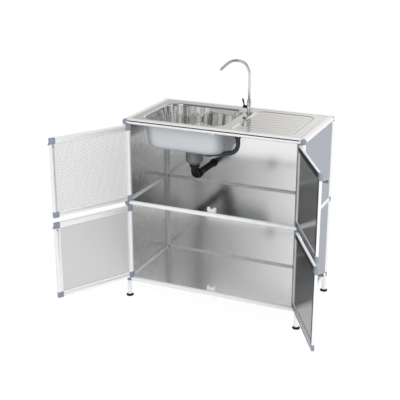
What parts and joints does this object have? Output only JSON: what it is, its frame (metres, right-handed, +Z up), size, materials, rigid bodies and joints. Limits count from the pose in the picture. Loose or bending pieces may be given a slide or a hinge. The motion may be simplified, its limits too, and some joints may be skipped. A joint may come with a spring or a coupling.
{
  "type": "kitchen sink unit",
  "caption": "Free-standing kitchen sink unit with a tubular aluminium frame, steel panels, hinged doors, a pressed steel bowl with a ridged drainer and a gooseneck tap.",
  "frame": {"origin": "on the floor, at the middle of the unit's box with its doors open", "axes": "+X to the right along the front, +Y to the back, +Z up; the front with the doors faces -Y"},
  "size_m": [1.1538, 0.7394, 1.0339],
  "materials": {
    "aluminium": "satin anodised",
    "connector": "smooth moulded",
    "sheet_steel": "fine brushed",
    "door_sheet": "polished inside, dotted or plain outside",
    "sink_steel": "satin, polished in the bowl",
    "chrome": "polished",
    "black_plastic": "moulded",
    "grey_plastic": "moulded",
    "white_plastic": "moulded",
    "knob_metal": "dull"
  },
  "bodies": {
    "unit": {"back_panel_lower": "sheet_steel", "back_panel_upper": "sheet_steel", "catch_bottom": "white_plastic", "catch_mid": "white_plastic", "catch_top": "white_plastic", "connector_left_bottom": "connector", "connector_left_mid": "connector", "connector_left_top": "connector", "connector_right_bottom": "connector", "connector_right_mid": "connector", "connector_right_top": "connector", "drain_flange": "sink_steel", "floor_panel": "sheet_steel", "hose_nut": "black_plastic", "overflow_pipe": "grey_plastic", "post_back_left": "aluminium", "post_back_right": "aluminium", "post_front_left": "aluminium", "post_front_right": "aluminium", "rail_back_bottom": "aluminium", "rail_back_mid": "aluminium", "rail_back_top": "aluminium", "rail_front_bottom": "aluminium", "rail_front_mid": "aluminium", "rail_front_top": "aluminium", "rail_left_bottom": "aluminium", "rail_left_mid": "aluminium", "rail_left_top": "aluminium", "rail_right_bottom": "aluminium", "rail_right_mid": "aluminium", "rail_right_top": "aluminium", "shelf": "sheet_steel", "side_panel_left_lower": "sheet_steel", "side_panel_left_upper": "sheet_steel", "side_panel_right_lower": "sheet_steel", "side_panel_right_upper": "sheet_steel", "sink_top": "sink_steel", "tap_body": "chrome", "waste_cup": "grey_plastic", "waste_elbow": "black_plastic", "waste_hose": "black_plastic"},
    "door_left_lower": {"door_left_lower_frame": "aluminium", "door_left_lower_knob": "knob_metal", "door_left_lower_sheet": "door_sheet"},
    "door_left_upper": {"door_left_upper_frame": "aluminium", "door_left_upper_knob": "knob_metal", "door_left_upper_sheet": "door_sheet"},
    "door_right_lower": {"door_right_lower_frame": "aluminium", "door_right_lower_knob": "knob_metal", "door_right_lower_sheet": "door_sheet"},
    "door_right_upper": {"door_right_upper_frame": "aluminium", "door_right_upper_knob": "knob_metal", "door_right_upper_sheet": "door_sheet"},
    "foot_back_left": {"foot_back_left": "black_plastic"},
    "foot_back_right": {"foot_back_right": "black_plastic"},
    "foot_front_left": {"foot_front_left": "black_plastic"},
    "foot_front_right": {"foot_front_right": "black_plastic"},
    "strainer_basket": {"strainer_basket": "sink_steel"},
    "tap_lever": {"tap_lever": "black_plastic"},
    "tap_spout": {"tap_spout": "chrome"}
  },
  "joints": [
    {"name": "hinge_left_upper", "type": "hinge", "parent": "unit", "child": "door_left_upper", "pos_m": [-0.37, -0.04734, 0.619], "axis": [0, 0, 1], "range_deg": [0, 120]},
    {"name": "hinge_right_upper", "type": "hinge", "parent": "unit", "child": "door_right_upper", "pos_m": [0.37, -0.04734, 0.619], "axis": [0, 0, 1], "range_deg": [-120, 0]},
    {"name": "hinge_left_lower", "type": "hinge", "parent": "unit", "child": "door_left_lower", "pos_m": [-0.37, -0.04734, 0.262], "axis": [0, 0, 1], "range_deg": [0, 120]},
    {"name": "hinge_right_lower", "type": "hinge", "parent": "unit", "child": "door_right_lower", "pos_m": [0.37, -0.04734, 0.262], "axis": [0, 0, 1], "range_deg": [-120, 0]},
    {"name": "spout_swivel", "type": "hinge", "parent": "unit", "child": "tap_spout", "pos_m": [0.0465, 0.25665, 0.862], "axis": [0, 0, 1], "range_deg": [-120, 120]},
    {"name": "lever_turn", "type": "hinge", "parent": "unit", "child": "tap_lever", "pos_m": [0.0265, 0.25665, 0.834], "axis": [1, 0, 0], "range_deg": [0, 90]},
    {"name": "basket_lift", "type": "slide", "parent": "unit", "child": "strainer_basket", "axis": [0, 0, 1], "range_m": [0, 0.09]},
    {"name": "foot_front_left_screw", "type": "slide", "parent": "unit", "child": "foot_front_left", "axis": [0, 0, -1], "range_m": [0, 0.012]},
    {"name": "foot_front_right_screw", "type": "slide", "parent": "unit", "child": "foot_front_right", "axis": [0, 0, -1], "range_m": [0, 0.012]},
    {"name": "foot_back_left_screw", "type": "slide", "parent": "unit", "child": "foot_back_left", "axis": [0, 0, -1], "range_m": [0, 0.012]},
    {"name": "foot_back_right_screw", "type": "slide", "parent": "unit", "child": "foot_back_right", "axis": [0, 0, -1], "range_m": [0, 0.012]}
  ]
}
